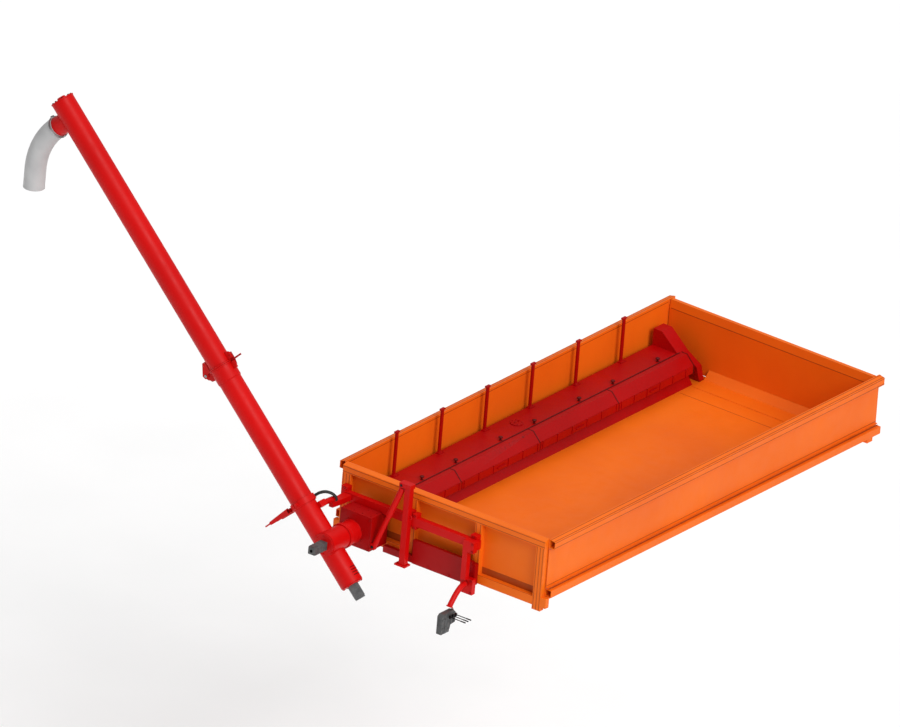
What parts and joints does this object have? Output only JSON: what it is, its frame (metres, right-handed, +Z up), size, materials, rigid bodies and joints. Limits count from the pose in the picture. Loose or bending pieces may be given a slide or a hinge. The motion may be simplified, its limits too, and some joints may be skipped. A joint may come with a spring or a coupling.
{
  "type": "truck body with discharge auger",
  "caption": "Open steel truck body with a covered floor auger along one side, feeding a folding inclined discharge auger with a hose spout, driven by hydraulic motors.",
  "frame": {"origin": "plan centre of the body, on the underside of the sills", "axes": "+X along the body away from the discharge auger, +Y towards the floor auger's side, +Z up"},
  "size_m": [5.965, 5.7509, 3.9212],
  "materials": {
    "orange_paint": "semi-gloss orange paint on sheet steel",
    "red_paint": "semi-gloss red paint on steel tube and plate",
    "dark_red_paint": "deeper red paint on the trough, brackets and channels",
    "worn_steel": "bare steel worn bright",
    "motor_grey": "grey painted casting",
    "spout_grey": "smooth light grey hose",
    "hose_black": "matt black hydraulic hose"
  },
  "bodies": {
    "root": {"subframe": "orange_paint", "floor_plate": "orange_paint", "end_wall": "orange_paint", "headboard": "orange_paint", "cove_plate": "orange_paint", "edge_beam_right": "orange_paint", "edge_beam_left": "orange_paint", "front_corner_post_right": "orange_paint", "front_corner_post_left": "orange_paint", "trough_tub": "dark_red_paint", "trough_cover": "dark_red_paint", "trough_end_housing": "dark_red_paint", "stanchion_1": "dark_red_paint", "stanchion_2": "dark_red_paint", "stanchion_3": "dark_red_paint", "stanchion_4": "dark_red_paint", "stanchion_5": "dark_red_paint", "stanchion_6": "dark_red_paint", "inspection_port": "dark_red_paint", "transfer_box": "dark_red_paint", "horizontal_tube": "red_paint", "swivel_collar": "red_paint", "upper_bar": "red_paint", "lock_console": "red_paint", "lower_channel": "dark_red_paint", "lower_bar": "dark_red_paint", "mast": "red_paint", "stay": "red_paint", "right_post": "red_paint", "control_arm": "red_paint", "valve_block": "motor_grey", "hydraulic_hose_1": "hose_black", "hydraulic_hose_2": "hose_black"},
    "side_right": {"dropside_right": "orange_paint"},
    "side_left": {"dropside_left": "orange_paint"},
    "hood_1": {"hood_section_1": "dark_red_paint"},
    "hood_2": {"hood_section_2": "dark_red_paint"},
    "hood_3": {"hood_section_3": "dark_red_paint"},
    "hood_4": {"hood_section_4": "dark_red_paint"},
    "gate_1": {"intake_gate_1": "dark_red_paint"},
    "gate_2": {"intake_gate_2": "dark_red_paint"},
    "gate_3": {"intake_gate_3": "dark_red_paint"},
    "gate_4": {"intake_gate_4": "dark_red_paint"},
    "lever_1": {"valve_lever_1": "worn_steel"},
    "lever_2": {"valve_lever_2": "worn_steel"},
    "lever_3": {"valve_lever_3": "worn_steel"},
    "floor_auger": {"floor_screw": "worn_steel"},
    "discharge_lower": {"lower_tube": "red_paint", "lower_motor": "motor_grey", "floor_motor": "motor_grey", "clamp_ring": "red_paint", "fold_cradle": "red_paint", "fold_hinge_pin": "worn_steel"},
    "lower_auger": {"lower_screw": "worn_steel"},
    "latch": {"latch_lever": "dark_red_paint"},
    "discharge_upper": {"upper_tube": "red_paint", "top_bearing": "red_paint"},
    "upper_auger": {"upper_screw": "worn_steel"},
    "spout": {"spout_hose": "spout_grey", "spout_clamp": "worn_steel"}
  },
  "joints": [
    {"name": "auger_swing", "type": "hinge", "parent": "root", "child": "discharge_lower", "pos_m": [-3.105, 0.811, 0.29], "axis": [1, 0, 0], "range_deg": [-30, 40], "deforming": ["hydraulic_hose_1", "hydraulic_hose_2"]},
    {"name": "auger_fold", "type": "hinge", "parent": "discharge_lower", "child": "discharge_upper", "pos_m": [-3.105, 2.31411, 1.45269], "axis": [-1, 0, 0], "range_deg": [0, 160]},
    {"name": "spout_swivel", "type": "hinge", "parent": "discharge_upper", "child": "spout", "pos_m": [-3.105, 4.06419, 3.44319], "axis": [0, 0.7071, -0.7071], "range_deg": [-60, 60]},
    {"name": "latch_swing", "type": "hinge", "parent": "discharge_lower", "child": "latch", "pos_m": [-3.105, 2.06237, 1.64785], "axis": [1, 0, 0], "range_deg": [0, 60]},
    {"name": "lower_auger_turn", "type": "hinge", "parent": "discharge_lower", "child": "lower_auger", "pos_m": [-3.105, 0.861, 0.24], "axis": [0, 0.7071, 0.7071], "continuous": true},
    {"name": "upper_auger_turn", "type": "hinge", "parent": "discharge_upper", "child": "upper_auger", "pos_m": [-3.105, 0.861, 0.24], "axis": [0, 0.7071, 0.7071], "continuous": true},
    {"name": "floor_auger_turn", "type": "hinge", "parent": "root", "child": "floor_auger", "pos_m": [-3.105, 0.811, 0.29], "axis": [1, 0, 0], "continuous": true},
    {"name": "side_right_hinge", "type": "hinge", "parent": "root", "child": "side_right", "pos_m": [0, -1.19, 0.275], "axis": [1, 0, 0], "range_deg": [0, 90]},
    {"name": "side_left_hinge", "type": "hinge", "parent": "root", "child": "side_left", "pos_m": [0, 1.19, 0.275], "axis": [-1, 0, 0], "range_deg": [0, 90]},
    {"name": "hood_1_hinge", "type": "hinge", "parent": "root", "child": "hood_1", "pos_m": [-1.913, 0.811, 0.436], "axis": [-1, 0, 0], "range_deg": [0, 95]},
    {"name": "hood_2_hinge", "type": "hinge", "parent": "root", "child": "hood_2", "pos_m": [-0.74, 0.811, 0.436], "axis": [-1, 0, 0], "range_deg": [0, 95]},
    {"name": "hood_3_hinge", "type": "hinge", "parent": "root", "child": "hood_3", "pos_m": [0.46, 0.811, 0.436], "axis": [-1, 0, 0], "range_deg": [0, 95]},
    {"name": "hood_4_hinge", "type": "hinge", "parent": "root", "child": "hood_4", "pos_m": [1.6335, 0.811, 0.436], "axis": [-1, 0, 0], "range_deg": [0, 95]},
    {"name": "gate_1_slide", "type": "slide", "parent": "hood_1", "child": "gate_1", "axis": [0, 0, -1], "range_m": [0, 0.105]},
    {"name": "gate_2_slide", "type": "slide", "parent": "hood_2", "child": "gate_2", "axis": [0, 0, -1], "range_m": [0, 0.105]},
    {"name": "gate_3_slide", "type": "slide", "parent": "hood_3", "child": "gate_3", "axis": [0, 0, -1], "range_m": [0, 0.105]},
    {"name": "gate_4_slide", "type": "slide", "parent": "hood_4", "child": "gate_4", "axis": [0, 0, -1], "range_m": [0, 0.105]},
    {"name": "lever_1_tilt", "type": "hinge", "parent": "root", "child": "lever_1", "pos_m": [-2.865, -0.4465, -0.107], "axis": [1, 0, 0], "range_deg": [-15, 15], "stiffness_Nm_per_rad": 20},
    {"name": "lever_2_tilt", "type": "hinge", "parent": "root", "child": "lever_2", "pos_m": [-2.907, -0.4465, -0.107], "axis": [1, 0, 0], "range_deg": [-15, 15], "stiffness_Nm_per_rad": 20},
    {"name": "lever_3_tilt", "type": "hinge", "parent": "root", "child": "lever_3", "pos_m": [-2.949, -0.4465, -0.107], "axis": [1, 0, 0], "range_deg": [-15, 15], "stiffness_Nm_per_rad": 20}
  ],
  "couplings": [
    {"joint": "upper_auger_turn", "follows": "lower_auger_turn", "ratio": 1}
  ]
}
